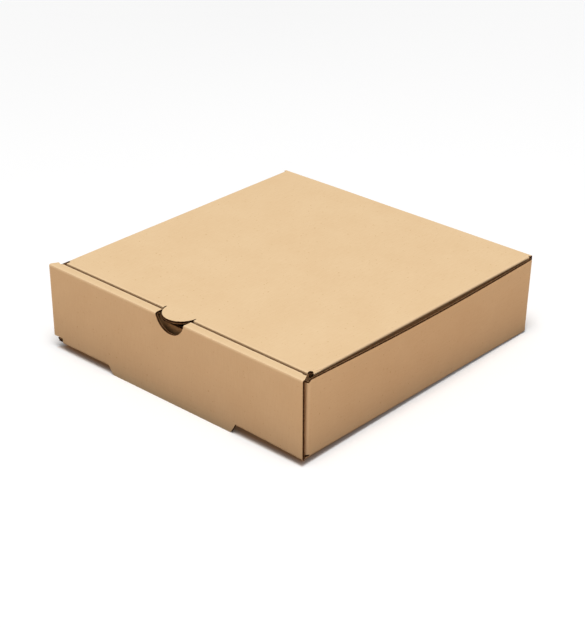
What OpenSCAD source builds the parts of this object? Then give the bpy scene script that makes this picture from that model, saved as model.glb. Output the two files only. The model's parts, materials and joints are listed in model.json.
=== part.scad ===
// Pizza box folded from one sheet of kraft corrugated board.
// Width along X, front at -Y, height along Z. The origin is the middle of the footprint,
// level with the foot of the front tongue. The lid is drawn closed.

/* [Board] */
// Thickness of the corrugated board
board_t = 1.6; // [1.2:0.1:2.4]
// Inside radius of every folded edge
fold_r = 0.2; // [0.1:0.05:0.6]
// Space between layers of board that lie against each other
layer_gap = 0.6; // [0.4:0.1:1.2]

/* [Box] */
// Outer width, along the front
box_w = 200; // [170:1:420]
// Outer depth, front to back
box_d = 199; // [170:1:420]
// Height of the front wall above the underside of the base
front_h = 47; // [38:0.5:75]
// How far the side walls end below the top of the front wall
side_drop = 0.6; // [0:0.1:3]
// How far the rear fold stands above the top of the front wall
rear_rise = 1.2; // [0:0.1:4]

/* [Front wall] */
// Sideways place of the thumb notch and the lid's tab
thumb_x = 2; // [-20:0.5:20]
// Half the width of the thumb notch
thumb_r = 11.5; // [8:0.5:25]
// Depth of the thumb notch in the outer panel
thumb_depth = 9; // [6:0.5:20]
// Depth of the thumb notch in the inner panel
thumb_inner_depth = 6; // [4:0.5:15]
// Width of the foot of the tongue that stands below the base
tongue_w = 95; // [50:1:130]
// Slant of the tongue's sides
tongue_slant = 30; // [5:1:45]
// Room behind the locking tab in the slot of the base
lock_clear = 1.6; // [0.8:0.1:5]
// Room beside the locking tab in the slot of the base
lock_side_clear = 6; // [2:0.5:15]
// How far the inner panel ends short of the side walls
inner_end_gap = 2; // [1:0.1:6]

/* [Corner flaps] */
// Length of the corner flaps
corner_flap_l = 40; // [15:1:42]
// Height of the bevels at the free end of the corner flaps
corner_flap_bevel = 8; // [2:0.5:12]
// Slant of these bevels from upright
corner_flap_slant = 27; // [10:1:45]

/* [Lid] */
// Space between the lid and the side walls
lid_side_gap = 0.8; // [0.4:0.1:2]
// Space between the lid and the rolled-over front wall
lid_front_gap = 1.9; // [0.4:0.1:2.4]
// How far the front of the lid lies below the top of the front wall
lid_sink = 0.3; // [0:0.1:1.4]
// Height of the lid's flaps above the inside of the base
flap_foot = 14; // [8:0.5:22]
// Taper at the ends of the lid's flaps
flap_taper = 7; // [2:0.5:15]
// Radius of the half-round tab
tab_r = 11.3; // [8:0.1:25]
// Width of the slits beside the tab
slit_w = 0.7; // [0.4:0.1:1.5]
// Length of the slits into the lid, from the start of its front fold
slit_l = 0.6; // [0.3:0.1:3]
// Radius of the cut-away at the front corners of the lid
lid_relief_r = 1.6; // [1.2:0.1:4]
// Width of the parting along the hinge fold
hinge_gap = 0.4; // [0.2:0.05:0.6]

/* [Hidden] */
$fn = 64;
tray_color = "#c9a578";
lid_color = "#ddbc8e";

// Cutting tools reach this far past what they cut
over = 1;
quarter = 90;
half_turn = 180;

// Folds: the outer liner's radius, and the board's length at its middle through a square fold
fold_ro = fold_r + board_t;
fold_run = PI / 2 * (fold_r + board_t / 2);

// Layers of the front wall, from its outer face inwards
layer_pitch = board_t + layer_gap;
strip_d = 3 * board_t + 2 * layer_gap;

// Plan
half_w = box_w / 2;
front_y = -box_d / 2;
back_y = box_d / 2;
strip_y = front_y + strip_d;
slot_y = strip_y + lock_clear;
wall_y0 = front_y + layer_pitch + fold_ro;
wall_y1 = back_y - layer_pitch - fold_ro;

// The tongue is the piece of board that the slot in the base was cut from
tongue_l = slot_y - (front_y + fold_ro) + fold_run;

// Levels
base_z = tongue_l - fold_ro;
floor_z = base_z + board_t;
top_z = base_z + front_h;
side_z = top_z - side_drop;
rear_z = top_z + rear_rise;
flap_z = floor_z + flap_foot;
corner_flap_z0 = floor_z + layer_gap;
corner_flap_z1 = top_z - board_t - layer_gap;

// Front wall
inner_half_w = half_w - board_t - inner_end_gap;
lock_half_w = tongue_w / 2 - lock_side_clear;
thumb_arc_z = top_z - thumb_depth + thumb_r;

// Hinge axis, just outside the middle of the rear fold
hinge_r = fold_ro + hinge_gap / 2;
hinge_y = back_y - fold_ro + hinge_r * cos(quarter / 2);
hinge_z = rear_z - fold_ro + hinge_r * sin(quarter / 2);

// Lid, drawn level and then tipped about the hinge
lid_half_w = half_w - board_t - lid_side_gap;
lid_y = strip_y + lid_front_gap;
lid_tip = atan((rear_rise + lid_sink) / (hinge_y - lid_y));
tuck_half_w = lid_half_w - board_t - layer_gap;
side_flap_y0 = lid_y + fold_ro + lid_relief_r / 2;
side_flap_y1 = back_y - fold_ro - layer_gap;

// The flaps taper from below their folds to their free edges, and clear the rear corner flaps
flap_clear_y = wall_y1 - layer_gap;
taper_z = rear_z - 2 * fold_ro;
taper = flap_taper / (taper_z - flap_z);

// The tuck flap leans along a chord of its swing, so that it leaves past the front wall
tuck_lean = asin((rear_z - flap_z) / (hinge_y - lid_y)) / 2;
tuck_l = (rear_z - fold_ro * (1 + sin(tuck_lean)) - flap_z) / cos(tuck_lean);

// Tab: its tip is level with the front wall, and the tuck flap keeps the hole it left
tab_y = front_y + tab_r;
tab_root_y = lid_y + fold_ro + slit_l;
tab_half_w = sqrt(pow(tab_r, 2) - pow(max(tab_y - tab_root_y, 0), 2)) + slit_w;
tab_hole_z = rear_z - fold_ro - (lid_y + fold_ro - front_y - fold_run) + tab_r;

// Half the width of the tongue at a distance along the board from its root
function tongue_half_w(run) = tongue_w / 2 + (tongue_l - run) * tan(tongue_slant);

// Wedge from a fold's centre, between two angles, that reaches past the fold
module wedge(from, to) {
    middle = (from + to) / 2;
    reach = 2 * fold_ro;
    polygon([
        [0, 0],
        reach * [cos(from), sin(from)],
        reach * [cos(middle), sin(middle)],
        reach * [cos(to), sin(to)]
    ]);
}

// Section of a folded edge about its own centre, between two angles
module fold_section(from, to) {
    intersection() {
        difference() {
            circle(fold_ro);
            circle(fold_r);
        }
        wedge(from, to);
    }
}

// Rectangle between two corners
module panel(low, high) {
    translate(low) square(high - low);
}

// Draws a section in Y and Z along the width, between two places
module along_x(x0, x1) {
    translate([x0, 0, 0]) rotate([quarter, 0, quarter]) linear_extrude(x1 - x0) children();
}

// Draws a section in X and Z along the depth, between two places
module along_y(y0, y1) {
    translate([0, y1, 0]) rotate([quarter, 0, 0]) linear_extrude(y1 - y0) children();
}

// Draws a plan in X and Y upwards, between two levels
module along_z(z0, z1) {
    translate([0, 0, z0]) linear_extrude(z1 - z0) children();
}

// Repeats what is on the right side on the left side too
module both_sides() {
    children();
    mirror([1, 0, 0]) children();
}

// Repeats what is at the front at the back too
module both_ends() {
    children();
    mirror([0, 1, 0]) children();
}

// Plan of the slot in the base, which runs through the front fold
module slot_plan() {
    both_sides() polygon([
        [0, front_y - over],
        [tongue_half_w(0), front_y - over],
        [tongue_half_w(0), front_y],
        [tongue_half_w(fold_run), front_y + fold_ro],
        [tongue_half_w(tongue_l), slot_y],
        [0, slot_y]
    ]);
}

// Base with its four lower folds
module base() {
    difference() {
        union() {
            along_z(base_z, floor_z)
                panel([fold_ro - half_w, front_y + fold_ro], [half_w - fold_ro, back_y - fold_ro]);
            along_x(-half_w, half_w)
                translate([front_y + fold_ro, base_z + fold_ro]) fold_section(-half_turn, -quarter);
            along_x(-lid_half_w, lid_half_w)
                translate([back_y - fold_ro, base_z + fold_ro]) fold_section(-quarter, 0);
            both_sides() along_y(wall_y0, wall_y1)
                translate([half_w - fold_ro, base_z + fold_ro]) fold_section(-quarter, 0);
        }
        along_z(base_z - over, base_z + fold_ro + over) slot_plan();
    }
}

// Side wall on the right, with the corner flaps folded from its two ends
module side_wall() {
    along_z(base_z + fold_ro, side_z)
        panel([half_w - board_t, wall_y0], [half_w, wall_y1]);
    both_ends() difference() {
        along_z(corner_flap_z0, corner_flap_z1) {
            translate([half_w - fold_ro, wall_y1]) fold_section(0, quarter);
            translate([half_w - fold_ro - corner_flap_l, wall_y1 + fold_r])
                square([corner_flap_l, board_t]);
        }
        along_y(wall_y1, back_y) corner_flap_bevels();
    }
}

// Corners taken off the free end of a corner flap
module corner_flap_bevels() {
    end_x = half_w - fold_ro - corner_flap_l;
    for (level = [[corner_flap_z0, 1], [corner_flap_z1, -1]])
        polygon([
            [end_x - over, level[0] - level[1] * over],
            [end_x + corner_flap_bevel * tan(corner_flap_slant), level[0] - level[1] * over],
            [end_x + corner_flap_bevel * tan(corner_flap_slant), level[0]],
            [end_x, level[0] + level[1] * corner_flap_bevel],
            [end_x - over, level[0] + level[1] * corner_flap_bevel]
        ]);
}

// Section of the front wall: outer panel, strip and inner panel, rolled over in one run
module front_section() {
    panel([front_y, base_z + fold_ro], [front_y + board_t, top_z - fold_ro]);
    translate([front_y + fold_ro, top_z - fold_ro]) fold_section(quarter, half_turn);
    panel([front_y + fold_ro, top_z - board_t], [strip_y - fold_ro, top_z]);
    translate([strip_y - fold_ro, top_z - fold_ro]) fold_section(0, quarter);
    panel([strip_y - board_t, floor_z + layer_gap], [strip_y, top_z - fold_ro]);
}

// Plan of what is cut from the ends of the strip and the inner panel, slanted to clear the side walls
module strip_end_plan() {
    both_sides() polygon([
        [half_w + over, front_y + board_t],
        [half_w, front_y + board_t],
        [half_w - layer_pitch, wall_y0],
        [inner_half_w, strip_y],
        [inner_half_w, strip_y + over],
        [half_w + over, strip_y + over]
    ]);
}

// Thumb notch: half-round in the outer panel, straight through the strip, shallow in the inner panel
module thumb_notch() {
    translate([thumb_x, 0, 0]) {
        along_y(front_y - over, front_y + fold_ro) {
            translate([0, thumb_arc_z]) circle(thumb_r);
            panel([-thumb_r, thumb_arc_z], [thumb_r, thumb_arc_z + thumb_depth]);
        }
        along_y(front_y + board_t, strip_y + over)
            panel([-thumb_r, top_z - thumb_inner_depth], [thumb_r, top_z + over]);
    }
}

// Front wall, rolled over the front corner flaps and locked in the slot of the base
module front_wall() {
    difference() {
        along_x(-half_w, half_w) front_section();
        along_z(base_z, top_z + over) strip_end_plan();
        thumb_notch();
    }
    along_y(front_y, front_y + board_t) both_sides() polygon([
        [0, 0],
        [tongue_w / 2, 0],
        [tongue_half_w(0), base_z + fold_ro],
        [0, base_z + fold_ro]
    ]);
    along_y(strip_y - board_t, strip_y)
        panel([-lock_half_w, base_z], [lock_half_w, floor_z + layer_gap]);
}

// Parting line of the hinge, along the middle of the rear fold
module hinge_parting() {
    rotate(quarter / 2) translate([0, -hinge_gap / 2]) square([2 * fold_ro, hinge_gap]);
}

// Back wall, as wide as the lid, with the lower half of the rear fold
module back_wall() {
    along_x(-lid_half_w, lid_half_w) {
        panel([back_y - board_t, base_z + fold_ro], [back_y, rear_z - fold_ro]);
        translate([back_y - fold_ro, rear_z - fold_ro]) difference() {
            fold_section(0, quarter / 2);
            hinge_parting();
        }
    }
}

module tray() {
    color(tray_color) {
        base();
        both_sides() side_wall();
        front_wall();
        back_wall();
    }
}

// Section of the lid across its width: panel, side folds and side flaps
module cross_section() {
    panel([fold_ro - lid_half_w, rear_z - board_t], [lid_half_w - fold_ro, rear_z]);
    both_sides() {
        translate([lid_half_w - fold_ro, rear_z - fold_ro]) fold_section(0, quarter);
        panel([lid_half_w - board_t, flap_z], [lid_half_w, rear_z - fold_ro]);
    }
}

// Section of the lid's panel from a place back to the hinge, with the upper half of the rear fold
module rear_section(y0) {
    panel([y0, rear_z - board_t], [back_y - fold_ro, rear_z]);
    translate([back_y - fold_ro, rear_z - fold_ro]) difference() {
        fold_section(quarter / 2, quarter);
        hinge_parting();
    }
}

// Corner taken off a lid flap, at an end that faces forwards or backwards along its edge
module flap_corner(end, way) {
    polygon([
        [end, taper_z],
        [end - way * taper * (taper_z - flap_z + over), flap_z - over],
        [end + way * over, flap_z - over],
        [end + way * over, taper_z]
    ]);
}

// Lid panel and its side flaps, whose folds end short of the hinge
module side_flaps() {
    along_x(-lid_half_w, lid_half_w) rear_section(side_flap_y1);
    difference() {
        along_y(side_flap_y0, side_flap_y1) cross_section();
        along_x(-half_w, half_w) {
            flap_corner(side_flap_y0, -1);
            flap_corner(flap_clear_y, 1);
            panel([flap_clear_y, flap_z - over], [back_y, corner_flap_z1 + layer_gap]);
        }
    }
}

// Section of the front fold, which runs out into the leaning tuck flap
module tuck_section() {
    translate([lid_y + fold_ro, rear_z - fold_ro]) difference() {
        union() {
            intersection() {
                circle(fold_ro);
                wedge(quarter, half_turn + 2 * tuck_lean);
            }
            rotate(half_turn + tuck_lean) square([fold_ro, tuck_l]);
        }
        circle(fold_r);
        rotate(half_turn + tuck_lean) panel([-fold_ro, 0], [fold_r, tuck_l + over]);
    }
}

// Lid panel, with the front fold and the tuck flap
module tuck_flap() {
    difference() {
        along_x(-tuck_half_w, tuck_half_w) {
            rear_section(lid_y + fold_ro);
            tuck_section();
        }
        along_y(lid_y - over, lid_y + tuck_l) both_sides() flap_corner(tuck_half_w, 1);
    }
}

// Opening in the front fold and the tuck flap that the tab was cut from
module tab_opening() {
    translate([thumb_x, 0, 0]) {
        along_z(rear_z - fold_ro - over, rear_z + over)
            panel([-tab_half_w, lid_y - over], [tab_half_w, tab_root_y]);
        along_y(lid_y - over, lid_y + tuck_l) intersection() {
            translate([0, tab_hole_z]) circle(tab_r);
            panel([-tab_r, flap_z], [tab_r, rear_z - fold_ro]);
        }
    }
}

// Half-round tab, level with the lid
module tab() {
    translate([thumb_x, 0, 0]) along_z(rear_z - board_t, rear_z) intersection() {
        translate([0, tab_y]) circle(tab_r);
        panel([-tab_r, front_y - over], [tab_r, tab_root_y + slit_w]);
    }
}

// Tips what is drawn level about the hinge, front downwards
module tipped() {
    translate([0, hinge_y, hinge_z]) rotate([lid_tip, 0, 0]) translate([0, -hinge_y, -hinge_z]) children();
}

module lid() {
    color(lid_color) tipped() {
        difference() {
            union() {
                side_flaps();
                tuck_flap();
            }
            tab_opening();
            along_z(rear_z - fold_ro - over, rear_z + over) both_sides()
                translate([lid_half_w - fold_ro, lid_y + fold_ro]) circle(lid_relief_r);
        }
        tab();
    }
}

tray();
lid();
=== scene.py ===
"""Pizza box folded from one die-cut sheet of kraft E-flute board.

The flat blank is drawn in its own plane: u runs across the box, v along the front-to-back run
of panels, with v = 0 where the front wall meets the base. Each sheet of the blank is cut out
flat, given the board's two liners and its fluted cut edges, and then folded along its creases.
"""

import json
import math

import bmesh
import bpy
import numpy as np
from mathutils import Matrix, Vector, noise
from mathutils.geometry import delaunay_2d_cdt


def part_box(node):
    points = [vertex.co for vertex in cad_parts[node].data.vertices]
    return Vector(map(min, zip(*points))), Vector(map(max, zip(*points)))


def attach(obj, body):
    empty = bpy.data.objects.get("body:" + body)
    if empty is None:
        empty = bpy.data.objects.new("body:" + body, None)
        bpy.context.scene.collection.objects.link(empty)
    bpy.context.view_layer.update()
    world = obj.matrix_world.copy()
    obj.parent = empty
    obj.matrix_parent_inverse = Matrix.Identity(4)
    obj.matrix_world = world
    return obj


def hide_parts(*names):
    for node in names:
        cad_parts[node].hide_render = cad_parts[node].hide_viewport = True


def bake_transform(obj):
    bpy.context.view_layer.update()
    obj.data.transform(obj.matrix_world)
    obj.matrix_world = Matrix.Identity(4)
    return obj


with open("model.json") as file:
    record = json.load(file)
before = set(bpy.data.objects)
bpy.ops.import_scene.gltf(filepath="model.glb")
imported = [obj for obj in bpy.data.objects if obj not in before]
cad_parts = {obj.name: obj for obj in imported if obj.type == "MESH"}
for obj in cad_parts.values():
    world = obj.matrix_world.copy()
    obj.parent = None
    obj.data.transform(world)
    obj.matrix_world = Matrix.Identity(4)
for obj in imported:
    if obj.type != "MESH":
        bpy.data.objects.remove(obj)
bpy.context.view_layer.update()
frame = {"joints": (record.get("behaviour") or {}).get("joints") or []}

# Sizes are in millimetres until a mesh is made
MM = 0.001

# Board
BOARD_T = 1.6
LINER_T = 0.24
MEDIUM_T = 0.18
FLUTE_PITCH = 3.3
# How far the open flutes go in from a cut edge, and how far the medium stands back from it
FLUTE_DEPTH = 2.0
MEDIUM_RECESS = 0.3
FOLD_R = 0.2
# Outer radius of a scored crease, sharper than board bent round freely
CREASE_R = 0.8
LAYER_GAP = 0.6
CORNER_GAP = 1.3
CORNER_SLIT = 0.6

# Box, from the frame
tray_low, tray_high = (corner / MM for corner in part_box("tray"))
lid_hinge = frame["joints"][0]
hinge = Vector(lid_hinge["pos_m"]) / MM
HALF_W = tray_high.x
FRONT_Y = tray_low.y
BACK_Y = tray_high.y

# Front wall and side walls
FRONT_H = 47.0
SIDE_DROP = 0.6
REAR_RISE = 1.2
THUMB_X = 2.0
THUMB_R = 11.5
THUMB_DEPTH = 9.5
THUMB_INNER_DEPTH = 6.0
THUMB_INNER_ROUND = 2.5
TONGUE_W = 95.0
TONGUE_SLANT = 30.0
LOCK_CLEAR = 1.6
LOCK_SIDE_CLEAR = 6.0
INNER_END_GAP = 2.0
CORNER_FLAP_L = 40.0
CORNER_FLAP_BEVEL = 8.0
CORNER_FLAP_SLANT = 27.0

# Lid
LID_SIDE_GAP = 0.8
LID_FRONT_GAP = 1.9
LID_SINK = 0.3
FLAP_FOOT = 14.0
FLAP_TAPER = 7.0
TAB_X = 0.7
TAB_R = 11.4
SLIT_W = 0.7
SLIT_L = 0.6
LID_RELIEF_R = 1.3
HINGE_LAP = 0.5

# How the folded board gives: the lid sits a little to the right and droops there, with its flaps folded
# past square
LID_SHIFT = 1.0
LID_DROOP = 0.7
FLAP_LEAN = 6.0
FLAP_INSET = 1.4
TUCK_INSET = 0.9
INSET_RUN = 1.5
# The right wall bows out and slopes, and the left one leans in
WALL_BOW = 3.8
WALL_END_BOW = 1.0
BOW_CURVE = 1.5
WALL_FRONT_SINK = 0.9
WALL_REAR_LIFT = 0.7
LEFT_WALL_LEAN = 1.6
LEFT_WALL_SINK = 1.6
# The base sags, less so beside the tongue, hangs lower towards the left and spreads at the rear right
BASE_SAG = 1.3
SAG_HELD = 0.8
SAG_RUN = 14.0
FOOT_SKEW = 1.5
REAR_SPREAD = 1.9
# No panel is quite flat; without a seed its waves would differ from run to run
WAVINESS = 0.22
WAVE_LENGTH = 70.0
WAVE_SEED = 7
noise.seed_set(WAVE_SEED)

# Small cuts at the foot: a notch at the left end of the front fold, and clipped corners at the rear
FOOT_NOTCH = 7.5
NOTCH_RISE = 2.0
REAR_CLIP = 2.2

# Fineness of the meshes
GRID = 7.0
LATTICE_LINES = 28
COLUMN_INSET = 2.0
BEND_STEPS = 6
WAVE_STEPS = 10
ARC_STEP = 12.0
SHARP_ANGLE = 40.0
# How far the inner edge of a cut may reach in at a sharp corner: the smaller, the further
MITRE_LIMIT = 0.5
# Distances that count as nothing: on the flat blank, beside a seam and between points that become one
NEAR = 1e-6
SEAM_NEAR = 1e-4
SHORTEST = 1e-3

# Sizes of the patterns on the paper; its fibres are finer, and drawn wide enough to show
CLOUD_SIZE = 28.0
FIBRE_W = 0.9
FIBRE_L = 7.0
FIBRE_RELIEF = 0.12
SPECK_SIZE = 1.6
FUZZ_SIZE = 1.1
FUZZ_RELIEF = 0.1

# Folds
FOLD_RO = FOLD_R + BOARD_T
MID_R = FOLD_R + BOARD_T / 2
FOLD_RUN = math.pi / 2 * MID_R

# Plan and levels, worked out as in the part's source
STRIP_D = 3 * BOARD_T + 2 * LAYER_GAP
LAYER_PITCH = BOARD_T + LAYER_GAP
STRIP_Y = FRONT_Y + STRIP_D
SLOT_Y = STRIP_Y + LOCK_CLEAR
WALL_Y0 = FRONT_Y + LAYER_PITCH + FOLD_RO + CORNER_GAP
WALL_Y1 = BACK_Y - LAYER_PITCH - FOLD_RO
SIDE_FOLD_Y0 = FRONT_Y + FOLD_RO + CORNER_SLIT
SIDE_FOLD_Y1 = WALL_Y1 - REAR_CLIP
TONGUE_L = SLOT_Y - (FRONT_Y + FOLD_RO) + FOLD_RUN
BASE_Z = TONGUE_L - FOLD_RO
FLOOR_Z = BASE_Z + BOARD_T
TOP_Z = BASE_Z + FRONT_H
SIDE_Z = TOP_Z - SIDE_DROP
REAR_Z = TOP_Z + REAR_RISE
FLAP_Z = FLOOR_Z + FLAP_FOOT
CORNER_FLAP_Z0 = FLOOR_Z + LAYER_GAP
CORNER_FLAP_Z1 = TOP_Z - BOARD_T - LAYER_GAP
BASE_HALF_W = HALF_W - FOLD_RO
WALL_U0 = BASE_HALF_W + FOLD_RUN
INNER_HALF_W = HALF_W - BOARD_T - INNER_END_GAP
LOCK_HALF_W = TONGUE_W / 2 - LOCK_SIDE_CLEAR
LID_HALF_W = HALF_W - BOARD_T - LID_SIDE_GAP
LID_FOLD_X = LID_HALF_W - FOLD_RO
LID_Y = STRIP_Y + LID_FRONT_GAP
LID_TIP = math.degrees(math.atan((REAR_RISE + LID_SINK) / (hinge.y - LID_Y)))
TUCK_HALF_W = LID_HALF_W - BOARD_T - LAYER_GAP
TUCK_LEAN = math.degrees(math.asin((REAR_Z - FLAP_Z) / (hinge.y - LID_Y))) / 2
TUCK_DROP = REAR_Z - FOLD_RO * (1 + math.sin(math.radians(TUCK_LEAN))) - FLAP_Z
TUCK_L = TUCK_DROP / math.cos(math.radians(TUCK_LEAN))
SIDE_FLAP_Y0 = LID_Y + FOLD_RO + LID_RELIEF_R / 2
SIDE_FLAP_Y1 = BACK_Y - FOLD_RO - LAYER_GAP
FLAP_CLEAR_Y = WALL_Y1 - LAYER_GAP
SIDE_FLAP_L = REAR_Z - FOLD_RO - FLAP_Z


def tongue_half_w(run):
    """Half the width of the tongue, at a distance along the board from its root."""
    return TONGUE_W / 2 + (TONGUE_L - run) * math.tan(math.radians(TONGUE_SLANT))


def crease_reach(turned, bend, crease_r):
    """How far the outer liner is from the inner one part way round a fold, as a share of the board."""
    off = abs(turned - bend / 2)
    inset = (FOLD_RO - crease_r) / math.cos(bend / 2)
    if off > bend / 2 - math.atan(inset * math.sin(bend / 2) / FOLD_RO):
        reach = FOLD_RO / math.cos(bend / 2 - off)
    else:
        reach = inset * math.cos(off) + math.sqrt(crease_r**2 - (inset * math.sin(off)) ** 2)
    return (reach - FOLD_R) / BOARD_T


class FoldPath:
    """Run of folded board in the Y-Z plane: straight lengths and bends away from the outer liner."""

    def __init__(self, start, heading, moves):
        self.spans = []
        point = Vector(start)
        angle = math.radians(heading)
        v = 0.0
        for run, bend, crease_r in moves:
            length = run + math.radians(bend) * MID_R
            self.spans.append((v, v + length, point.copy(), angle, crease_r))
            if bend:
                centre = point + MID_R * Vector((-math.sin(angle), math.cos(angle)))
                angle += math.radians(bend)
                point = centre + MID_R * Vector((math.sin(angle), -math.cos(angle)))
            else:
                point = point + run * Vector((math.cos(angle), math.sin(angle)))
            v += length
        self.ends = [span[1] for span in self.spans]

    def at(self, v):
        """Point on the inner liner, way out through the board, and how near a crease's middle it is."""
        first, last = self.spans[0], self.spans[-1]
        v0, v1, point, angle, crease_r = next(
            (span for span in self.spans if span[0] <= v <= span[1]), first if v < 0 else last
        )
        run = v - v0
        if not crease_r:
            point = point + run * Vector((math.cos(angle), math.sin(angle)))
            outward = Vector((math.sin(angle), -math.cos(angle)))
            return point - outward * BOARD_T / 2, outward, 0.0
        centre = point + MID_R * Vector((-math.sin(angle), math.cos(angle)))
        turned = run / MID_R
        outward = Vector((math.sin(angle + turned), -math.cos(angle + turned)))
        reach = crease_reach(turned, (v1 - v0) / MID_R, crease_r)
        return centre + FOLD_R * outward, outward * reach, math.sin(math.pi * run / (v1 - v0))


# Runs of panels: the front wall, rolled over from its locking tab to its tongue, and the rest, from the
# base to the tuck flap
INNER_RUN = TOP_Z - FOLD_RO - BASE_Z
STRIP_RUN = STRIP_D - 2 * FOLD_RO
OUTER_RUN = FRONT_H - 2 * FOLD_RO
ROLL_L = INNER_RUN + FOLD_RUN + STRIP_RUN + FOLD_RUN + OUTER_RUN
front_path = FoldPath(
    (STRIP_Y - BOARD_T / 2, BASE_Z),
    90,
    [
        (INNER_RUN, 0, 0),
        (0, 90, CREASE_R),
        (STRIP_RUN, 0, 0),
        (0, 90, CREASE_R),
        (OUTER_RUN + TONGUE_L, 0, 0),
    ],
)
main_path = FoldPath(
    (FRONT_Y + BOARD_T / 2, BASE_Z + FOLD_RO),
    -90,
    [
        (0, 90, FOLD_RO),
        (BACK_Y - FRONT_Y - 2 * FOLD_RO, 0, 0),
        (0, 90, FOLD_RO),
        (REAR_Z - BASE_Z - 2 * FOLD_RO, 0, 0),
        (0, 90 + LID_TIP, CREASE_R),
        (BACK_Y - LID_Y - 2 * FOLD_RO, 0, 0),
        (0, 90 + TUCK_LEAN, CREASE_R),
        (TUCK_L, 0, 0),
    ],
)
BASE_V0, BASE_V1, BACK_V0, BACK_V1, LID_V0, LID_V1, TUCK_V0, TUCK_V1 = main_path.ends
STRIP_V1 = -OUTER_RUN
STRIP_V0 = STRIP_V1 - FOLD_RUN - STRIP_RUN - FOLD_RUN
INNER_V0 = FLOOR_Z + LAYER_GAP - BASE_Z - ROLL_L


def base_v(y):
    """Place along the blank of a place on the base."""
    return BASE_V0 + y - (FRONT_Y + FOLD_RO)


def lid_v(y):
    """Place along the blank of a place on the lid, from the start of its rear fold."""
    return LID_V0 + (BACK_Y - FOLD_RO) - y


def unit(value):
    """A value held between 0 and 1."""
    return min(max(value, 0), 1)


def smooth(share):
    """A share from 0 to 1 that starts and ends gently."""
    return share * share * (3 - 2 * share)


def rise(z):
    """Height up the walls, from 0 at the base to 1 at the top."""
    return unit((z - BASE_Z) / FRONT_H)


def mid_depth(y):
    """Nearness to the middle of the side walls, from 0 at their ends to 1."""
    return math.sin(math.pi * unit((y - WALL_Y0) / (WALL_Y1 - WALL_Y0)))


def settle_lid(point):
    """Moves the lid to the right, less so down the back wall and not at the tab; that side droops."""
    away = unit((abs(point.x - TAB_X) - 2 * TAB_R) / (2 * TAB_R))
    shift = LID_SHIFT * rise(point.z) * smooth(away)
    droop = LID_DROOP * mid_depth(point.y) * (max(point.x, 0) / LID_HALF_W) ** 2
    return point + Vector((shift, 0, -droop))


def wall_bow(y, z):
    """How far the lid pushes out the right side wall, most at the middle of its top."""
    return (WALL_END_BOW + (WALL_BOW - WALL_END_BOW) * mid_depth(y)) * rise(z) ** BOW_CURVE


def place_front(u, v, depth):
    """Front wall: a point of the blank, at a depth below the outer liner, on the folded box."""
    point, outward, fold = front_path.at(v + ROLL_L)
    point = point + outward * (BOARD_T - depth)
    return Vector((u, point.x, point.y)), fold


def place_main(u, v, depth):
    """Base, back wall, lid panel and tuck flap."""
    point, outward, fold = main_path.at(v)
    point = point + outward * (BOARD_T - depth)
    over_folded = unit((v - LID_V1) / (TUCK_V0 + INSET_RUN - LID_V1))
    made = Vector((u, point.x + TUCK_INSET * over_folded, point.y))
    return (settle_lid(made) if v > BASE_V1 else made), fold


def place_flat_tab(u, v, depth):
    """Half-round tab: goes on straight from the lid, past the start of its front fold."""
    point, outward, _ = main_path.at(LID_V1)
    past = v - LID_V1
    point = point + outward * (BOARD_T - depth) + Vector((-outward.y, outward.x)) * past
    return Vector((u, point.x, point.y)), 0.0


def side_fold(u, v, depth, fold_x):
    """A side panel that folds away from the run of panels at a distance either side of its middle."""
    run = abs(u) - fold_x
    point, outward, _ = main_path.at(v)
    angle = min(max(run, 0) / MID_R, math.pi / 2)
    radius = FOLD_RO - depth
    beyond = max(run - FOLD_RUN, 0)
    point = point + outward * (radius * math.cos(angle) - FOLD_R - beyond)
    x = math.copysign(fold_x + radius * math.sin(angle), u)
    return Vector((x, point.x, point.y)), math.sin(2 * angle)


def place_side_wall(u, v, depth):
    """Side wall, whose ends fold round into the corner flaps; the fold at its foot goes straight on."""
    v0, v1 = base_v(WALL_Y0), base_v(WALL_Y1)
    end = min(max(v, v0), v1) if abs(u) > WALL_U0 else v
    past = abs(v - end)
    point, fold = side_fold(u, end, depth, BASE_HALF_W)
    up = rise(point.z)
    along = (point.y - WALL_Y0) / (WALL_Y1 - WALL_Y0)
    right_sink = WALL_FRONT_SINK - (WALL_FRONT_SINK + WALL_REAR_LIFT) * along
    bow = wall_bow(point.y, point.z) if u > 0 else LEFT_WALL_LEAN * up**BOW_CURVE
    point.z -= (right_sink if u > 0 else LEFT_WALL_SINK) * up**2
    if past:
        angle = min(past / MID_R, math.pi / 2)
        radius = FOLD_RO - depth
        point.x = math.copysign(BASE_HALF_W + radius * math.cos(angle) - max(past - FOLD_RUN, 0), u)
        point.y += math.copysign(radius * math.sin(angle), v - end)
        fold = math.sin(2 * angle)
    point.x += bow
    return point, fold


def place_lid_flap(u, v, depth):
    """Side flap of the lid, bent round freely to a little more than square."""
    point, fold = side_fold(u, v, depth, LID_FOLD_X)
    run = abs(u) - LID_FOLD_X
    over_folded = unit((run - FOLD_RUN / 2) / (FOLD_RUN / 2 + INSET_RUN))
    lean = math.tan(math.radians(FLAP_LEAN)) * max(run - FOLD_RUN, 0)
    point.x -= math.copysign(lean + FLAP_INSET * over_folded, u)
    return settle_lid(point), fold


def give(point):
    """How the box settles: a foot that sags, more so to the left, a spread rear and wavy panels."""
    foot = smooth(1 - unit((point.z - FLOOR_Z) / SAG_RUN))
    off_floor = smooth(unit(point.z / BASE_Z))
    held = SAG_HELD * math.sin(math.pi * unit(point.x / HALF_W))
    sag = BASE_SAG * (1 - held) * foot * off_floor
    skew = FOOT_SKEW * max(TONGUE_W / 2 - point.x, 0) / TONGUE_W * foot
    along = (point.y - FRONT_Y) / (BACK_Y - FRONT_Y)
    spread = REAR_SPREAD * along * along * max(point.x, 0) / HALF_W
    wave = WAVINESS * noise.noise_vector(point / WAVE_LENGTH)
    return point + Vector((spread, 0, -sag - skew)) + wave


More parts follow.
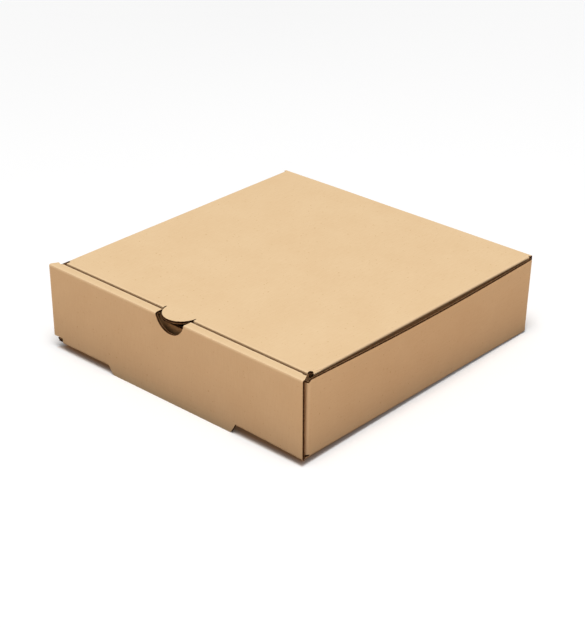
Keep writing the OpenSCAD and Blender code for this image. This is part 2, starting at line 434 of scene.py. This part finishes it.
# Lattices that neighbouring sheets share along their seams
COLUMN_END = INNER_HALF_W - COLUMN_INSET
COLUMNS = list(np.linspace(-COLUMN_END, COLUMN_END, LATTICE_LINES))
BASE_ROWS = list(np.linspace(base_v(WALL_Y0), base_v(WALL_Y1), LATTICE_LINES))
LID_ROWS = list(np.linspace(lid_v(SIDE_FLAP_Y1), lid_v(SIDE_FLAP_Y0), LATTICE_LINES))


def ruled(*stops):
    """Lattice lines between stops: fine over a bend, and about GRID apart elsewhere."""
    lines = [stops[0]]
    for low, high in zip(stops, stops[1:]):
        bend = abs(high - low - FOLD_RUN) < FOLD_R
        steps = BEND_STEPS if bend else max(1, math.ceil((high - low) / GRID))
        lines += [low + (high - low) * i / steps for i in range(1, steps + 1)]
    return lines


def arc(centre, radius, start, end):
    """Points on an arc, from one angle to another."""
    steps = max(2, math.ceil(abs(end - start) / ARC_STEP))
    angles = [math.radians(start + (end - start) * i / steps) for i in range(steps + 1)]
    return [(centre[0] + radius * math.cos(a), centre[1] + radius * math.sin(a)) for a in angles]


def mirrored(points):
    """The same points on the other side, in the order that goes on round an outline."""
    return [(-u, v) for u, v in reversed(points)]


def scored(loop, columns, rows):
    """A loop of points with more of them where it crosses the lattice."""
    made = []
    for i, start in enumerate(loop):
        start, end = Vector(start), Vector(loop[(i + 1) % len(loop)])
        step = end - start
        shares = {0.0}
        for axis, lines in enumerate((columns, rows)):
            if abs(step[axis]) > NEAR:
                shares |= {(line - start[axis]) / step[axis] for line in lines}
        shares = sorted(s for s in shares if 0 <= s < 1 - NEAR)
        gaps = [math.inf] + [(b - a) * step.length for a, b in zip(shares, shares[1:])]
        made += [start + step * s for s, gap in zip(shares, gaps) if gap > SHORTEST]
    return made


def inside(points, loop):
    """Which points lie inside a loop, by counting crossings."""
    found = np.zeros(len(points), bool)
    for a, b in zip(loop, loop[1:] + loop[:1]):
        if a[1] == b[1]:
            continue
        crosses = (a[1] > points[:, 1]) != (b[1] > points[:, 1])
        at = a[0] + (points[:, 1] - a[1]) * (b[0] - a[0]) / (b[1] - a[1])
        found ^= crosses & (points[:, 0] < at)
    return found


def clear_of(points, loop, distance):
    """Which points are further than a distance from a loop's edges."""
    far = np.ones(len(points), bool)
    for a, b in zip(loop, loop[1:] + loop[:1]):
        a, step = np.array(a), np.array(b) - np.array(a)
        share = np.clip(((points - a) @ step) / max(step @ step, NEAR**2), 0, 1)
        far &= np.linalg.norm(points - a - share[:, None] * step, axis=1) > distance
    return far


def lattice_edges(points, loops, columns, rows):
    """Edges between neighbouring points on the lattice's lines, which keep every crease straight."""
    flat = np.array(points)
    pairs = []
    for axis, lines in enumerate((columns, rows)):
        for line in lines:
            on_line = np.flatnonzero(abs(flat[:, axis] - line) < NEAR)
            on_line = on_line[np.argsort(flat[on_line, 1 - axis])]
            pairs += zip(on_line.tolist(), on_line[1:].tolist())
    middles = np.array([(flat[i] + flat[j]) / 2 for i, j in pairs])
    within = inside(middles, loops[0]) & clear_of(middles, loops[0], NEAR)
    for hole in loops[1:]:
        within &= ~inside(middles, hole)
    return [pair for pair, kept in zip(pairs, within) if kept]


class Board:
    """A mesh of folded board, gathered sheet by sheet and welded along the seams between them."""

    OUTSIDE, INSIDE, EDGE, MEDIUM = range(4)

    def __init__(self, name):
        self.name = name
        self.bm = bmesh.new()
        self.sheet = self.bm.verts.layers.float_vector.new("sheet")
        self.fold = self.bm.verts.layers.float.new("fold")

    def vert(self, place, u, v, depth):
        """A folded point of the blank, with its flat place and its share of fold for the materials."""
        point, fold = place(u, v, depth)
        made = self.bm.verts.new(give(point) * MM)
        made[self.sheet] = Vector((u, v, depth)) * MM
        made[self.fold] = fold
        return made

    def face(self, verts, material):
        """A smooth face of one of the board's papers."""
        made = self.bm.faces.new(verts)
        made.material_index = material
        made.smooth = True

    def strip(self, rails, materials):
        """Faces between neighbouring rows of points, all along them."""
        for here, there in zip(rails, rails[1:]):
            for k, material in enumerate(materials):
                self.face((here[k], there[k], there[k + 1], here[k + 1]), material)

    def liners(self, place, loops, columns, rows):
        """Both faces of a sheet, with the lattice's points inside its outline."""
        lattice = np.array([(u, v) for u in columns for v in rows])
        within = inside(lattice, loops[0]) & clear_of(lattice, loops[0], LINER_T)
        for hole in loops[1:]:
            within &= ~inside(lattice, hole) & clear_of(lattice, hole, LINER_T)
        flat = [p for loop in loops for p in loop]
        edges = []
        for loop in loops:
            first = len(edges)
            edges += [(first + i, first + (i + 1) % len(loop)) for i in range(len(loop))]
        flat += [Vector(p) for p in lattice[within]]
        edges += lattice_edges(flat, loops, columns, rows)
        flat, _, faces, *_ = delaunay_2d_cdt(flat, edges, [], 0, NEAR)
        middles = np.array([sum((flat[i] for i in f), Vector((0, 0))) / len(f) for f in faces])
        keep = inside(middles, loops[0])
        for hole in loops[1:]:
            keep &= ~inside(middles, hole)
        for depth in (0, BOARD_T):
            verts = [self.vert(place, p.x, p.y, depth) for p in flat]
            for f, kept in zip(faces, keep):
                if kept:
                    turn = f if depth else list(reversed(f))
                    self.face([verts[i] for i in turn], self.INSIDE if depth else self.OUTSIDE)

    def cut_edge(self, place, run, inward):
        """Cut edge along a run of points: two liners, with the medium's flutes open between them."""
        lips = ((0, 0), (0, LINER_T), (FLUTE_DEPTH, LINER_T))
        lips += tuple((back, BOARD_T - depth) for back, depth in reversed(lips))
        rails = []
        for p, n in zip(run, inward):
            rails.append([self.vert(place, *(p + n * back), depth) for back, depth in lips])
        self.strip(rails, (self.EDGE, self.MEDIUM, self.MEDIUM, self.MEDIUM, self.EDGE))
        rails = []
        swing = BOARD_T / 2 - LINER_T - MEDIUM_T / 2
        turn = 2 * math.pi / FLUTE_PITCH
        for i, (start, end) in enumerate(zip(run, run[1:])):
            steps = max(1, math.ceil(abs(end.y - start.y) / FLUTE_PITCH * WAVE_STEPS))
            for step in range(steps + (i == len(run) - 2)):
                p = start.lerp(end, step / steps)
                n = inward[i].lerp(inward[i + 1], step / steps)
                middle = BOARD_T / 2 + swing * math.sin(turn * p.y)
                half = MEDIUM_T / 2 * math.hypot(1, swing * turn * math.cos(turn * p.y))
                ribbon = (
                    (FLUTE_DEPTH, middle - half),
                    (MEDIUM_RECESS, middle - half),
                    (MEDIUM_RECESS, middle + half),
                    (FLUTE_DEPTH, middle + half),
                )
                rails.append([self.vert(place, *(p + n * back), depth) for back, depth in ribbon])
        self.strip(rails, (self.MEDIUM, self.MEDIUM, self.MEDIUM))

    def add(self, place, outline, columns, rows, holes=(), seams=()):
        """Cuts a sheet from the blank and folds it; along its seams it joins another sheet."""
        loops = [scored(loop, columns, rows) for loop in (outline, *holes)]
        self.liners(place, loops, columns, rows)
        for loop in loops:
            joined = [on_seam(a, b, seams) for a, b in zip(loop, loop[1:] + loop[:1])]
            inward = ways_in(loop, joined)
            for run in open_runs(joined):
                self.cut_edge(place, [loop[i] for i in run], [inward[i] for i in run])

    def finish(self, materials):
        """The finished object, welded and shaded."""
        bmesh.ops.remove_doubles(self.bm, verts=self.bm.verts, dist=SHORTEST * MM)
        mesh = bpy.data.meshes.new(self.name)
        self.bm.to_mesh(mesh)
        self.bm.free()
        for material in materials:
            mesh.materials.append(material)
        mesh.set_sharp_from_angle(angle=math.radians(SHARP_ANGLE))
        made = bpy.data.objects.new(self.name, mesh)
        bpy.context.scene.collection.objects.link(made)
        shading = made.modifiers.new("panel shading", "WEIGHTED_NORMAL")
        shading.keep_sharp = True
        return made


def on_seam(start, end, seams):
    """Whether an edge lies on one of the seams."""
    for a, b in seams:
        a = Vector(a)
        step = Vector(b) - a
        near = True
        for p in (start, end):
            share = (p - a).dot(step) / step.length_squared
            beside = (a + step * share - p).length
            near = near and -NEAR <= share <= 1 + NEAR and beside < SEAM_NEAR
        if near:
            return True
    return False


def ways_in(loop, joined):
    """Way into the sheet from each point of a loop: mitred at corners, and square where a cut ends."""
    count = len(loop)
    ways = [(loop[(i + 1) % count] - loop[i]).normalized().orthogonal() for i in range(count)]
    made = []
    for i in range(count):
        before, after = ways[i - 1], ways[i]
        if joined[i - 1] != joined[i]:
            before = after = ways[i] if joined[i - 1] else ways[i - 1]
        made.append((before + after) / max(1 + before.dot(after), MITRE_LIMIT))
    return made


def open_runs(joined):
    """Runs of points along the edges of a loop that join no other sheet."""
    count = len(joined)
    first = next((i for i in range(count) if joined[i - 1] and not joined[i]), 0)
    runs = []
    run = []
    for step in range(count):
        i = (first + step) % count
        if not joined[i]:
            run = run or [i]
            run.append((i + 1) % count)
        elif run:
            runs.append(run)
            run = []
    if run:
        runs.append(run)
    return runs


def strip_v(y):
    """Place along the blank of a place on the strip on top of the front wall."""
    return STRIP_V0 + FOLD_RUN + STRIP_Y - FOLD_RO - y


RIGHT_SEAM = [(HALF_W, 0), (tongue_half_w(0), 0)]
LEFT_SEAM = [(-tongue_half_w(0), 0), (FOOT_NOTCH - HALF_W, 0)]


def thumb_notch():
    """Hole in the rolled-over front wall: half-round in the outer panel, shallow in the inner one."""
    middle = (THUMB_X, STRIP_V1 - FOLD_RO + THUMB_DEPTH - THUMB_R)
    end = math.degrees(math.asin((STRIP_V1 - middle[1]) / THUMB_R))
    left, right = THUMB_X - THUMB_R, THUMB_X + THUMB_R
    low = STRIP_V0 - (THUMB_INNER_DEPTH - FOLD_RO) + THUMB_INNER_ROUND
    high = STRIP_V1 - FOLD_RUN
    return (
        arc((left + THUMB_INNER_ROUND, low), THUMB_INNER_ROUND, 270, 180)
        + [(left, high)]
        + arc(middle, THUMB_R, 180 - end, end)
        + [(right, high)]
        + arc((right - THUMB_INNER_ROUND, low), THUMB_INNER_ROUND, 360, 270)
    )


def add_front_wall(board):
    """Front wall, rolled over from the tongue to the locking tab in the slot of the base."""
    roll = [
        (LOCK_HALF_W, -ROLL_L),
        (LOCK_HALF_W, INNER_V0),
        (INNER_HALF_W, INNER_V0),
        (INNER_HALF_W, STRIP_V0),
        (HALF_W - LAYER_PITCH, strip_v(WALL_Y0)),
        (HALF_W, strip_v(FRONT_Y + BOARD_T)),
    ]
    notch = [(HALF_W, -NOTCH_RISE), (HALF_W - FOOT_NOTCH, -NOTCH_RISE)]
    foot = [(HALF_W - FOOT_NOTCH, 0), (tongue_half_w(0), 0), (TONGUE_W / 2, TONGUE_L)]
    outline = roll + [(HALF_W, 0)] + foot + mirrored(roll + notch + foot)
    strip_folds = (STRIP_V0, STRIP_V0 + FOLD_RUN, STRIP_V1 - FOLD_RUN, STRIP_V1)
    rows = ruled(-ROLL_L, *strip_folds, 0, TONGUE_L)
    board.add(place_front, outline, COLUMNS, rows, [thumb_notch()], [RIGHT_SEAM, LEFT_SEAM])


def add_base(board):
    """Base with its slot and its front fold, notched at the left, and the back wall up to the hinge."""
    wall_seam = [(BASE_HALF_W, base_v(SIDE_FOLD_Y0)), (BASE_HALF_W, base_v(SIDE_FOLD_Y1))]
    hinge_seam = [(LID_HALF_W, BACK_V1), (-LID_HALF_W, BACK_V1)]
    foot = [(TONGUE_W / 2, TONGUE_L), (tongue_half_w(0), 0), (HALF_W - FOOT_NOTCH, 0)]
    rest = [
        (BASE_HALF_W, BASE_V0),
        *wall_seam,
        (LID_HALF_W - REAR_CLIP, BASE_V1),
        (LID_HALF_W - REAR_CLIP, BACK_V0),
        (LID_HALF_W, BACK_V0 + REAR_CLIP),
        hinge_seam[0],
    ]
    right = foot + [(HALF_W, 0), (HALF_W, BASE_V0)] + rest
    left = foot + [(HALF_W - FOOT_NOTCH, BASE_V0)] + rest
    corner_rows = ruled(base_v(WALL_Y0) - FOLD_RUN, base_v(WALL_Y0))
    back_rows = ruled(BASE_V1, BACK_V0, BACK_V1)
    rows = sorted({*ruled(0, BASE_V0), *corner_rows, *BASE_ROWS, *back_rows})
    seams = [RIGHT_SEAM, LEFT_SEAM, wall_seam, mirrored(wall_seam), hinge_seam]
    board.add(place_main, right + mirrored(left), COLUMNS, rows, seams=seams)


def add_side_wall(board, side):
    """Side wall with a corner flap at each end."""

    def wall_u(z):
        """Place across the blank of a height on the wall."""
        return WALL_U0 + z - (BASE_Z + FOLD_RO)

    low, high, top = wall_u(CORNER_FLAP_Z0), wall_u(CORNER_FLAP_Z1), wall_u(SIDE_Z)
    v0, v1 = base_v(WALL_Y0), base_v(WALL_Y1)
    reach = FOLD_RUN + CORNER_FLAP_L
    shoulder = reach - CORNER_FLAP_BEVEL * math.tan(math.radians(CORNER_FLAP_SLANT))
    flap = [
        (low, shoulder),
        (low + CORNER_FLAP_BEVEL, reach),
        (high - CORNER_FLAP_BEVEL, reach),
        (high, shoulder),
    ]
    seam = [(BASE_HALF_W, base_v(SIDE_FOLD_Y1)), (BASE_HALF_W, base_v(SIDE_FOLD_Y0))]
    outline = [
        seam[1],
        (WALL_U0 - CORNER_SLIT / 2, base_v(SIDE_FOLD_Y0)),
        (WALL_U0 - CORNER_SLIT / 2, v0),
        (low, v0),
        *[(u, v0 - past) for u, past in flap],
        (high, v0 - FOLD_RUN / 2),
        (top, v0),
        (top, v1),
        (high, v1 + FOLD_RUN / 2),
        *[(u, v1 + past) for u, past in reversed(flap)],
        (low, v1 + FOLD_RUN),
        seam[0],
    ]
    columns = ruled(BASE_HALF_W, WALL_U0, high, top)
    ends = ruled(v0 - reach, v0 - FOLD_RUN, v0) + ruled(v1, v1 + FOLD_RUN, v1 + reach)
    rows = sorted({*BASE_ROWS, *ends})
    if side < 0:
        outline = mirrored(outline)
        seam = mirrored(seam)
        columns = [-u for u in columns]
    board.add(place_side_wall, outline, columns, rows, seams=[seam])


TAB_V = lid_v(FRONT_Y + TAB_R)
TAB_ROOT_V = LID_V1 - SLIT_L
TAB_ROOT_HALF_W = math.sqrt(TAB_R**2 - (TAB_ROOT_V - TAB_V) ** 2)
TAB_SEAM = [(TAB_X + TAB_ROOT_HALF_W, TAB_ROOT_V), (TAB_X - TAB_ROOT_HALF_W, TAB_ROOT_V)]
LID_SEAM_V = LID_V1 - LID_RELIEF_R
LID_SEAM = [(LID_FOLD_X, lid_v(SIDE_FLAP_Y1)), (LID_FOLD_X, LID_SEAM_V)]


def tab_opening():
    """Hole in the front fold and the tuck flap that the tab was cut from."""
    middle = (TAB_X, lid_v(FRONT_Y) - TAB_R)
    end = math.degrees(math.asin((TUCK_V0 - middle[1]) / TAB_R))
    half = TAB_ROOT_HALF_W + SLIT_W
    return [
        (TAB_X - half, TAB_ROOT_V),
        (TAB_X - half, TUCK_V0),
        *arc(middle, TAB_R, 180 - end, end),
        (TAB_X + half, TUCK_V0),
        (TAB_X + half, TAB_ROOT_V),
        *TAB_SEAM,
    ]


def add_lid_panel(board):
    """Lid panel with its front fold and tuck flap."""
    relief_end = math.degrees(math.acos((TUCK_HALF_W - LID_FOLD_X) / LID_RELIEF_R))
    hinge_seam = [(-LID_HALF_W, LID_V0 + HINGE_LAP), (LID_HALF_W, LID_V0 + HINGE_LAP)]
    half = [
        hinge_seam[1],
        (LID_HALF_W, lid_v(SIDE_FLAP_Y1)),
        LID_SEAM[0],
        *arc((LID_FOLD_X, LID_V1), LID_RELIEF_R, 270, relief_end),
        (TUCK_HALF_W, TUCK_V0 + FOLD_RO),
        (TUCK_HALF_W - FLAP_TAPER, TUCK_V1),
    ]
    tuck_rows = ruled(LID_V1, TUCK_V0, TUCK_V0 + INSET_RUN, TUCK_V1)
    rows = sorted({LID_V0 + HINGE_LAP, *LID_ROWS, *tuck_rows})
    seams = [hinge_seam, LID_SEAM, mirrored(LID_SEAM), TAB_SEAM]
    board.add(place_main, half + mirrored(half), COLUMNS, rows, [tab_opening()], seams)


def add_tab(board):
    """Half-round tab of the lid, which rests over the thumb notch."""
    end = math.degrees(math.asin((TAB_ROOT_V - TAB_V) / TAB_R))
    outline = arc((TAB_X, TAB_V), TAB_R, end, 180 - end)
    rows = ruled(TAB_ROOT_V, TAB_V + TAB_R)
    board.add(place_flat_tab, outline, COLUMNS, rows, seams=[TAB_SEAM])


def add_lid_flap(board, side):
    """Side flap of the lid, tapered at its ends."""
    rear, clear, front = lid_v(SIDE_FLAP_Y1), lid_v(FLAP_CLEAR_Y), lid_v(SIDE_FLAP_Y0)
    heel = LID_FOLD_X + FOLD_RUN + REAR_Z - FOLD_RO - (CORNER_FLAP_Z1 + LAYER_GAP)
    shoulder = LID_FOLD_X + FOLD_RUN + FOLD_RO
    end = LID_FOLD_X + FOLD_RUN + SIDE_FLAP_L
    relief = []
    for across, along in arc((0, LID_V1), LID_RELIEF_R, 330, 270):
        relief.append((LID_FOLD_X + MID_R * math.asin(across / FOLD_RO), along))
    outline = [
        (LID_FOLD_X, rear),
        (heel, rear),
        (heel, clear),
        (shoulder, clear),
        (end, clear + FLAP_TAPER),
        (end, front - FLAP_TAPER),
        (shoulder, front),
        *relief,
    ]
    columns = ruled(LID_FOLD_X, LID_FOLD_X + FOLD_RUN, LID_FOLD_X + FOLD_RUN + INSET_RUN, end)
    seam = LID_SEAM
    if side < 0:
        outline = mirrored(outline)
        seam = mirrored(seam)
        columns = [-u for u in columns]
    board.add(place_lid_flap, outline, columns, LID_ROWS, seams=[seam])


def add_hinge_fold(board):
    """Crease between the back wall and the lid."""
    corners = [
        (-LID_HALF_W, BACK_V1),
        (LID_HALF_W, BACK_V1),
        (LID_HALF_W, LID_V0 + HINGE_LAP),
        (-LID_HALF_W, LID_V0 + HINGE_LAP),
    ]
    rows = ruled(BACK_V1, LID_V0, LID_V0 + HINGE_LAP)
    board.add(place_main, corners, COLUMNS, rows, seams=[corners[:2], corners[2:]])


def linear(colour):
    """A six-digit sRGB hex colour as linear red, green, blue and full alpha."""
    parts = [int(colour[i : i + 2], 16) / 255 for i in (1, 3, 5)]
    return [p / 12.92 if p <= 0.04045 else ((p + 0.055) / 1.055) ** 2.4 for p in parts] + [1.0]


def node(tree, kind, inputs=(), **settings):
    """Adds a node with its settings; each input is a value or another node's output."""
    made = tree.nodes.new(kind)
    for name, value in settings.items():
        setattr(made, name, value)
    for name, value in dict(inputs).items():
        if isinstance(value, bpy.types.NodeSocket):
            tree.links.new(value, made.inputs[name])
        else:
            made.inputs[name].default_value = value
    return made


def maths(tree, operation, *values):
    """Result of one operation on values or other nodes' outputs."""
    return node(tree, "ShaderNodeMath", enumerate(values), operation=operation).outputs[0]


def ramp(tree, value, start, end):
    """Share that grows from 0 at a start to 1 at an end."""
    inputs = {"Value": value, "From Min": start, "From Max": end}
    return node(tree, "ShaderNodeMapRange", inputs).outputs[0]


def mix(tree, share, first, second):
    """Colour a share of the way from a first colour to a second."""
    return node(tree, "ShaderNodeMix", {0: share, 6: first, 7: second}, data_type="RGBA").outputs[2]


def lumps(tree, place, size, detail):
    """Soft noise in lumps of about a size."""
    inputs = {"Vector": place, "Scale": 1 / size, "Detail": detail}
    return node(tree, "ShaderNodeTexNoise", inputs).outputs[0]


def new_material(name):
    """An empty material and its node tree."""
    made = bpy.data.materials.new(name)
    made.use_nodes = True
    made.node_tree.nodes.clear()
    return made, made.node_tree


def kraft_liner(name, dark, pale, speck_tone, crease_highlight_tone):
    """Unbleached kraft liner: matte brown paper with clouds, fibres and faint lines over the flutes,
    and a painted highlight along its creases.
    """
    tone_range = (0.25, 1.75)
    speck_range = (0.66, 0.76)
    flute_tone = 0.02
    flute_relief = 0.35
    crease_highlight_share = 0.5
    material, tree = new_material(name)
    sheet = node(tree, "ShaderNodeAttribute", attribute_name="sheet").outputs["Vector"]
    fold = node(tree, "ShaderNodeAttribute", attribute_name="fold").outputs["Fac"]
    cloud = lumps(tree, sheet, CLOUD_SIZE * MM, 3.0)
    fineness = [1 / (size * MM) for size in (FIBRE_W, FIBRE_L, FIBRE_W)]
    drawn_out = node(tree, "ShaderNodeVectorMath", {0: sheet, 1: fineness}, operation="MULTIPLY")
    fibre = lumps(tree, drawn_out.outputs[0], 1.0, 4.0)
    speck = lumps(tree, sheet, SPECK_SIZE * MM, 2.0)
    along = node(tree, "ShaderNodeSeparateXYZ", {0: sheet}).outputs["Y"]
    turn = 2 * math.pi / (FLUTE_PITCH * MM)
    flute = maths(tree, "SINE", maths(tree, "MULTIPLY", along, turn))

    tone = maths(tree, "MULTIPLY_ADD", flute, flute_tone, maths(tree, "ADD", cloud, fibre))
    paper = mix(tree, ramp(tree, tone, *tone_range), linear(dark), linear(pale))
    flecked = mix(tree, ramp(tree, speck, *speck_range), paper, linear(speck_tone))
    # Painted highlight: the paper is lighter along every crease, as where folds catch the light
    highlighted_paper = mix(tree, maths(tree, "MULTIPLY", fold, crease_highlight_share), flecked, linear(crease_highlight_tone))
    relief = maths(tree, "MULTIPLY_ADD", flute, flute_relief, fibre)
    bump = node(
        tree,
        "ShaderNodeBump",
        {"Strength": 0.15, "Distance": FIBRE_RELIEF * MM, "Height": relief},
    )
    rough = node(tree, "ShaderNodeMapRange", {"Value": fibre, "To Min": 0.78, "To Max": 0.92})
    board = node(
        tree,
        "ShaderNodeBsdfPrincipled",
        {
            "Base Color": highlighted_paper,
            "Roughness": rough.outputs[0],
            "IOR": 1.47,
            "Specular IOR Level": 0.3,
            "Normal": bump.outputs[0],
        },
    )
    node(tree, "ShaderNodeOutputMaterial", {"Surface": board.outputs[0]})
    return material


def cut_paper_with_painted_shade(name, pale, dark):
    """Raw paper where the board was die-cut: fuzzy, without the liner's calendered face, and darker
    than the liners, partly the raw fibre's own tone and partly painted shade of the edge's crevices and
    open flutes.
    """
    fuzz_range = (0.35, 0.65)
    material, tree = new_material(name)
    sheet = node(tree, "ShaderNodeAttribute", attribute_name="sheet").outputs["Vector"]
    fuzz = lumps(tree, sheet, FUZZ_SIZE * MM, 3.0)
    paper = mix(tree, ramp(tree, fuzz, *fuzz_range), linear(dark), linear(pale))
    bump = node(
        tree,
        "ShaderNodeBump",
        {"Strength": 0.4, "Distance": FUZZ_RELIEF * MM, "Height": fuzz},
    )
    shader = node(
        tree,
        "ShaderNodeBsdfPrincipled",
        {
            "Base Color": paper,
            "Roughness": 0.95,
            "IOR": 1.47,
            "Specular IOR Level": 0.2,
            "Normal": bump.outputs[0],
        },
    )
    node(tree, "ShaderNodeOutputMaterial", {"Surface": shader.outputs[0]})
    return material


papers = [
    kraft_liner("kraft_liner", "#dfbc8f", "#ebcda3", "#d2aa7a", "#efd1a9"),
    kraft_liner("brown_inner_liner", "#aa8054", "#b88e60", "#9a7146", "#bf986b"),
    # Cut edges and fluting are darker than the liners: partly their own tone, partly painted shade of
    # crevices and flute tunnels
    cut_paper_with_painted_shade("cut_liner_edge", "#a9805a", "#8a623c"),
    cut_paper_with_painted_shade("fluting_paper", "#6a4528", "#50331c"),
]

tray_board = Board("tray_board")
add_front_wall(tray_board)
add_base(tray_board)
for side in (1, -1):
    add_side_wall(tray_board, side)
tray = tray_board.finish(papers)
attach(tray, "tray_body")
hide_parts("tray")

lid_board = Board("lid_board")
add_lid_panel(lid_board)
add_tab(lid_board)
for side in (1, -1):
    add_lid_flap(lid_board, side)
lid = lid_board.finish(papers)
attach(lid, "lid_body")
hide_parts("lid")

hinge_board = Board("hinge_fold")
add_hinge_fold(hinge_board)
crease = hinge_board.finish(papers)
crease_start, crease_end = (place_main(0, v, BOARD_T)[0] * MM for v in (BACK_V1, LID_V0))
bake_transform(crease)

# Stage, in metres
FLOOR_SIZE = 12.0
FLOOR_GLOW = 0.08
SHADE_INSIDE = 0.005
SHADOW_REACH = 0.4
WHITE_REACH = 1.2
LAMP_PLACE = Vector((0.5, -0.6, 3.2))
LAMP_AIM = Vector((0, 0, 0.03))
LAMP_SIZE = 1.4
LAMP_POWER = 80.0
ROOM_LIGHT = 0.33


def seen(tree):
    """1 for rays that show a thing, straight, mirrored or through glass; 0 for light that it gives."""
    rays = node(tree, "ShaderNodeLightPath").outputs
    straight_or_mirrored = maths(tree, "MAXIMUM", rays["Is Camera Ray"], rays["Is Glossy Ray"])
    return maths(tree, "MAXIMUM", straight_or_mirrored, rays["Is Transmission Ray"])


def pale_floor():
    """Matte studio floor: white where seen, but painted kraft brown as shade under the box's edge, and
    a source of warm light, painted darker beside the box as its shade.
    """
    material, tree = new_material("pale_floor")
    here = node(tree, "ShaderNodeNewGeometry").outputs["Position"]
    off = node(tree, "ShaderNodeVectorMath", {0: here}, operation="ABSOLUTE")
    sides = node(tree, "ShaderNodeSeparateXYZ", {0: off.outputs[0]})
    away = maths(tree, "MAXIMUM", sides.outputs["X"], sides.outputs["Y"])
    edge = HALF_W * MM
    step = FRONT_H / 2 * MM
    # For the light it gives, the floor is painted dark beside the box: painted shade of the box in its
    # bounce
    beside = ramp(tree, away, edge, edge + step)
    beyond = ramp(tree, away, edge + step, edge + 2 * step)
    bounce_colour_painted_shade = mix(tree, beside, linear("#402c1e"), linear("#b58a68"))
    bounce_colour_painted_shade = mix(tree, beyond, bounce_colour_painted_shade, linear("#f0d6c2"))
    matte = node(tree, "ShaderNodeBsdfDiffuse", {"Color": bounce_colour_painted_shade})
    # Where seen, the floor under the box's edge is painted kraft brown as painted shade; the glow of
    # the same colour is painted light
    clear = ramp(tree, away, edge - SHADE_INSIDE, edge)
    seen_floor_painted_shade = mix(tree, clear, linear("#d0a27a"), linear("#fafafa"))
    white = node(tree, "ShaderNodeBsdfDiffuse", {"Color": seen_floor_painted_shade})
    glow = node(tree, "ShaderNodeEmission", {"Color": seen_floor_painted_shade, "Strength": FLOOR_GLOW})
    lit = node(tree, "ShaderNodeAddShader", {0: white.outputs[0], 1: glow.outputs[0]})
    far = ramp(tree, away, SHADOW_REACH, WHITE_REACH)
    backdrop = node(tree, "ShaderNodeEmission", {"Color": linear("#ffffff"), "Strength": 1.0})
    faded = node(tree, "ShaderNodeMixShader", {0: far, 1: lit.outputs[0], 2: backdrop.outputs[0]})
    shown = node(tree, "ShaderNodeMixShader", {0: seen(tree), 1: matte.outputs[0], 2: faded.outputs[0]})
    node(tree, "ShaderNodeOutputMaterial", {"Surface": shown.outputs[0]})
    return material


# The box stands on the foot of its tongue and on its rear right corner, so the floor lies a little
# tilted in its frame
floor_roll = FOOT_SKEW / TONGUE_W
rear_lift = BASE_Z - BASE_SAG - floor_roll * (HALF_W - TONGUE_W / 2)
floor_lean = rear_lift / (BACK_Y - FOLD_RO - FRONT_Y)
floor_mesh = bpy.data.meshes.new("floor")
bm = bmesh.new()
bmesh.ops.create_grid(bm, x_segments=1, y_segments=1, size=FLOOR_SIZE)
bm.to_mesh(floor_mesh)
bm.free()
floor = bpy.data.objects.new("floor", floor_mesh)
floor.location = Vector((TONGUE_W / 2, FRONT_Y, 0)) * MM
floor.rotation_euler = Vector((-floor_roll, -floor_lean, 1)).to_track_quat("Z", "Y").to_euler()
floor_mesh.materials.append(pale_floor())
bpy.context.scene.collection.objects.link(floor)

# One soft box overhead, in a dim white room
lamp_data = bpy.data.lights.new("overhead_soft_box", "AREA")
lamp_data.shape = "SQUARE"
lamp_data.size = LAMP_SIZE
lamp_data.energy = LAMP_POWER
lamp = bpy.data.objects.new("overhead_soft_box", lamp_data)
lamp.location = LAMP_PLACE
lamp.rotation_euler = (LAMP_AIM - LAMP_PLACE).to_track_quat("-Z", "Y").to_euler()
bpy.context.scene.collection.objects.link(lamp)
world = bpy.data.worlds.new("studio")
bpy.context.scene.world = world
world.use_nodes = True
sky = world.node_tree
sky.nodes.clear()
strength = node(sky, "ShaderNodeMapRange", {"Value": seen(sky), "To Min": ROOM_LIGHT, "To Max": 1.0})
room = node(sky, "ShaderNodeBackground", {"Color": linear("#ffffff"), "Strength": strength.outputs[0]})
node(sky, "ShaderNodeOutputWorld", {"Surface": room.outputs[0]})

# Camera at the photograph's viewing angle: a long lens, a little above the box and off its right corner
LENS = 85.53
CAMERA_PLACE = Vector((536.5, -578.3, 425.7))
CAMERA_AZIMUTH = math.radians(42.808)
CAMERA_ELEVATION = math.radians(27.375)
camera_data = bpy.data.cameras.new("camera")
camera_data.lens = LENS
camera = bpy.data.objects.new("camera", camera_data)
back = Vector(
    (
        math.sin(CAMERA_AZIMUTH) * math.cos(CAMERA_ELEVATION),
        -math.cos(CAMERA_AZIMUTH) * math.cos(CAMERA_ELEVATION),
        math.sin(CAMERA_ELEVATION),
    )
)
camera.location = CAMERA_PLACE * MM
camera.rotation_euler = (-back).to_track_quat("-Z", "Y").to_euler()
bpy.context.scene.collection.objects.link(camera)
bpy.context.scene.camera = camera
bpy.context.scene.view_settings.view_transform = "Standard"

bpy.context.view_layer.update()
